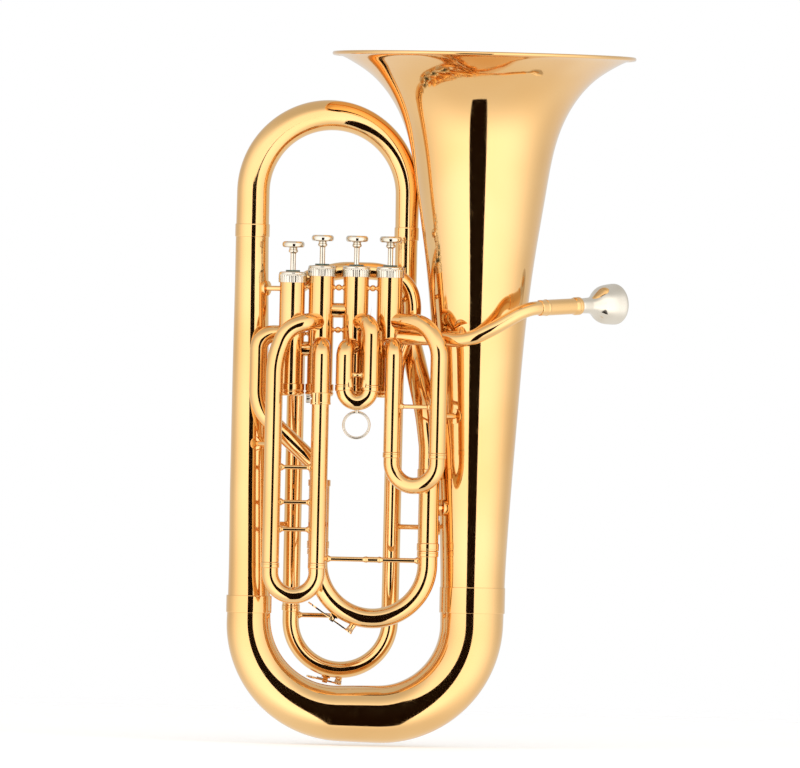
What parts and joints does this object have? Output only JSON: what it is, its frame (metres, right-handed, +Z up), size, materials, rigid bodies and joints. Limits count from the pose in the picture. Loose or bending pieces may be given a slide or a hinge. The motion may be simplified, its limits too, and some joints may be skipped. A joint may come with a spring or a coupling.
{
  "type": "euphonium",
  "caption": "Brass euphonium with an upright bell, in-line piston valves, valve slides, a main tuning slide, water keys and a removable mouthpiece.",
  "frame": {"origin": "on the plane the bottom bow stands on, below the middle of the bow", "axes": "+Z up along the bell's axis, +X from the valves towards the bell, -Y towards the front with the valve slides"},
  "size_m": [0.3664, 0.28, 0.6362],
  "materials": {
    "lacquered_brass": "clear lacquer over polished brass",
    "nickel_silver": "polished nickel plate",
    "piston_plating": "lapped nickel plate",
    "spring_steel": "drawn wire",
    "felt": "pressed wool felt",
    "cork": "cut cork"
  },
  "bodies": {
    "horn": {"bell": "lacquered_brass", "bell_rim_bead": "lacquered_brass", "bell_ferrule": "lacquered_brass", "bottom_bow": "lacquered_brass", "branch_ferrule": "lacquered_brass", "left_branch": "lacquered_brass", "top_bow_ferrules": "lacquered_brass", "top_bow": "lacquered_brass", "main_branch": "lacquered_brass", "tuning_outer_legs": "lacquered_brass", "tuning_ferrules": "lacquered_brass", "valve_exit_tube": "lacquered_brass", "leadpipe": "lacquered_brass", "mouthpiece_receiver": "lacquered_brass", "valve_casing_1": "lacquered_brass", "valve_casing_2": "lacquered_brass", "valve_casing_3": "lacquered_brass", "valve_casing_4": "lacquered_brass", "top_caps": "nickel_silver", "bottom_caps": "nickel_silver", "cap_felts": "felt", "valve_links": "lacquered_brass", "valve_stays": "lacquered_brass", "first_slide_outer": "lacquered_brass", "second_slide_outer": "lacquered_brass", "third_slide_outer": "lacquered_brass", "fourth_slide_outer": "lacquered_brass", "slide_stays": "lacquered_brass", "body_stays": "lacquered_brass", "lyre_holder": "lacquered_brass", "valve_spring_1": "spring_steel", "valve_spring_2": "spring_steel", "valve_spring_3": "spring_steel", "valve_spring_4": "spring_steel"},
    "tuning_slide": {"tuning_crook": "lacquered_brass", "tuning_brace": "lacquered_brass", "tuning_key_saddle": "lacquered_brass"},
    "tuning_key": {"tuning_key_lever": "lacquered_brass", "tuning_key_cork": "cork", "tuning_key_spring": "spring_steel"},
    "first_slide": {"first_crook": "lacquered_brass"},
    "second_slide": {"second_crook": "lacquered_brass", "pull_ring": "nickel_silver"},
    "third_slide": {"third_crook": "lacquered_brass"},
    "fourth_slide": {"fourth_crook": "lacquered_brass", "fourth_brace": "lacquered_brass", "fourth_key_saddle": "lacquered_brass"},
    "fourth_key": {"fourth_key_lever": "lacquered_brass", "fourth_key_cork": "cork", "fourth_key_spring": "spring_steel"},
    "mouthpiece": {"mouthpiece": "nickel_silver"},
    "lyre_screw": {"lyre_screw": "nickel_silver"},
    "valve_1": {"piston_1": "piston_plating", "valve_button_1": "nickel_silver"},
    "valve_2": {"piston_2": "piston_plating", "valve_button_2": "nickel_silver"},
    "valve_3": {"piston_3": "piston_plating", "valve_button_3": "nickel_silver"},
    "valve_4": {"piston_4": "piston_plating", "valve_button_4": "nickel_silver"}
  },
  "joints": [
    {"name": "valve_1_press", "type": "slide", "parent": "horn", "child": "valve_1", "axis": [0, 0, -1], "range_m": [0, 0.0155], "stiffness_N_per_m": 350, "springref_m": -0.006, "deforming": ["valve_spring_1"]},
    {"name": "valve_2_press", "type": "slide", "parent": "horn", "child": "valve_2", "axis": [0, 0, -1], "range_m": [0, 0.0155], "stiffness_N_per_m": 350, "springref_m": -0.006, "deforming": ["valve_spring_2"]},
    {"name": "valve_3_press", "type": "slide", "parent": "horn", "child": "valve_3", "axis": [0, 0, -1], "range_m": [0, 0.0155], "stiffness_N_per_m": 350, "springref_m": -0.006, "deforming": ["valve_spring_3"]},
    {"name": "valve_4_press", "type": "slide", "parent": "horn", "child": "valve_4", "axis": [0, 0, -1], "range_m": [0, 0.0155], "stiffness_N_per_m": 350, "springref_m": -0.006, "deforming": ["valve_spring_4"]},
    {"name": "tuning_slide_pull", "type": "slide", "parent": "horn", "child": "tuning_slide", "axis": [0, 0, -1], "range_m": [0, 0.04]},
    {"name": "first_slide_pull", "type": "slide", "parent": "horn", "child": "first_slide", "axis": [0, 0, -1], "range_m": [0, 0.045]},
    {"name": "second_slide_pull", "type": "slide", "parent": "horn", "child": "second_slide", "axis": [0, 0, -1], "range_m": [0, 0.012]},
    {"name": "third_slide_pull", "type": "slide", "parent": "horn", "child": "third_slide", "axis": [0, 0, -1], "range_m": [0, 0.08]},
    {"name": "fourth_slide_pull", "type": "slide", "parent": "horn", "child": "fourth_slide", "axis": [0, 0.1157, -0.9933], "range_m": [0, 0.055]},
    {"name": "tuning_key_lift", "type": "hinge", "parent": "tuning_slide", "child": "tuning_key", "pos_m": [-0.01942, -0.022, 0.11398], "axis": [0, 1, 0], "range_deg": [0, 12], "stiffness_Nm_per_rad": 0.05, "springref_deg": -20.05},
    {"name": "fourth_key_lift", "type": "hinge", "parent": "fourth_slide", "child": "fourth_key", "pos_m": [-0.02463, 0.03958, 0.05659], "axis": [0, 0.9933, 0.1157], "range_deg": [0, 12], "stiffness_Nm_per_rad": 0.05, "springref_deg": -20.05},
    {"name": "mouthpiece_pull", "type": "slide", "parent": "horn", "child": "mouthpiece", "axis": [0.7647, 0.6416, 0.0598], "range_m": [0, 0.028]},
    {"name": "lyre_screw_turn", "type": "hinge", "parent": "horn", "child": "lyre_screw", "pos_m": [-0.0387, -0.0584, 0.3165], "axis": [-1, 0, 0], "continuous": true}
  ]
}
